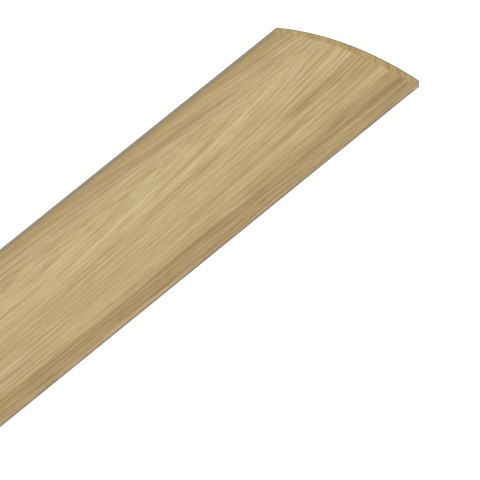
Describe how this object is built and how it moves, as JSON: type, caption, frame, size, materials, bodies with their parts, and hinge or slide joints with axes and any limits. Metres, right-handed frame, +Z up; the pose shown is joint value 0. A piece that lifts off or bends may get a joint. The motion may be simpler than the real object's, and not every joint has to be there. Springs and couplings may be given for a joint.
{
  "type": "threshold strip",
  "caption": "Long low-domed doorway threshold strip with an oak foil face, end caps and hidden pins and dowels held in a channel underneath.",
  "frame": {"origin": "centre of the strip in plan, at the floor's surface, on the axis of the middle dowel", "axes": "+X across the strip, +Y along it, +Z up out of the floor"},
  "size_m": [0.04, 0.93, 0.0244],
  "materials": {
    "champagne_aluminium": "satin",
    "oak_foil": "satin oak print",
    "end_cap": "oak-tinted, matt",
    "foam": "closed-cell foam",
    "zinc_steel": "zinc plated",
    "nylon": "grey nylon"
  },
  "bodies": {
    "strip": {"cover_profile": "champagne_aluminium", "decor_foil": "oak_foil", "end_cap_far": "end_cap", "end_cap_near": "end_cap", "foam_strip_left": "foam", "foam_strip_right": "foam"},
    "pin_1": {"fixing_pin_1": "zinc_steel"},
    "plug_1": {"dowel_1": "nylon"},
    "pin_2": {"fixing_pin_2": "zinc_steel"},
    "plug_2": {"dowel_2": "nylon"},
    "pin_3": {"fixing_pin_3": "zinc_steel"},
    "plug_3": {"dowel_3": "nylon"},
    "pin_4": {"fixing_pin_4": "zinc_steel"},
    "plug_4": {"dowel_4": "nylon"},
    "pin_5": {"fixing_pin_5": "zinc_steel"},
    "plug_5": {"dowel_5": "nylon"},
    "pin_6": {"fixing_pin_6": "zinc_steel"},
    "plug_6": {"dowel_6": "nylon"},
    "pin_7": {"fixing_pin_7": "zinc_steel"},
    "plug_7": {"dowel_7": "nylon"}
  },
  "joints": [
    {"name": "pin_1_slide", "type": "slide", "parent": "strip", "child": "pin_1", "axis": [0, 1, 0], "range_m": [-0.055, 0.055]},
    {"name": "dowel_1_pull", "type": "slide", "parent": "pin_1", "child": "plug_1", "axis": [0, 0, -1], "range_m": [0, 0.018]},
    {"name": "pin_2_slide", "type": "slide", "parent": "strip", "child": "pin_2", "axis": [0, 1, 0], "range_m": [-0.055, 0.055]},
    {"name": "dowel_2_pull", "type": "slide", "parent": "pin_2", "child": "plug_2", "axis": [0, 0, -1], "range_m": [0, 0.018]},
    {"name": "pin_3_slide", "type": "slide", "parent": "strip", "child": "pin_3", "axis": [0, 1, 0], "range_m": [-0.055, 0.055]},
    {"name": "dowel_3_pull", "type": "slide", "parent": "pin_3", "child": "plug_3", "axis": [0, 0, -1], "range_m": [0, 0.018]},
    {"name": "pin_4_slide", "type": "slide", "parent": "strip", "child": "pin_4", "axis": [0, 1, 0], "range_m": [-0.055, 0.055]},
    {"name": "dowel_4_pull", "type": "slide", "parent": "pin_4", "child": "plug_4", "axis": [0, 0, -1], "range_m": [0, 0.018]},
    {"name": "pin_5_slide", "type": "slide", "parent": "strip", "child": "pin_5", "axis": [0, 1, 0], "range_m": [-0.055, 0.055]},
    {"name": "dowel_5_pull", "type": "slide", "parent": "pin_5", "child": "plug_5", "axis": [0, 0, -1], "range_m": [0, 0.018]},
    {"name": "pin_6_slide", "type": "slide", "parent": "strip", "child": "pin_6", "axis": [0, 1, 0], "range_m": [-0.055, 0.055]},
    {"name": "dowel_6_pull", "type": "slide", "parent": "pin_6", "child": "plug_6", "axis": [0, 0, -1], "range_m": [0, 0.018]},
    {"name": "pin_7_slide", "type": "slide", "parent": "strip", "child": "pin_7", "axis": [0, 1, 0], "range_m": [-0.055, 0.055]},
    {"name": "dowel_7_pull", "type": "slide", "parent": "pin_7", "child": "plug_7", "axis": [0, 0, -1], "range_m": [0, 0.018]}
  ]
}
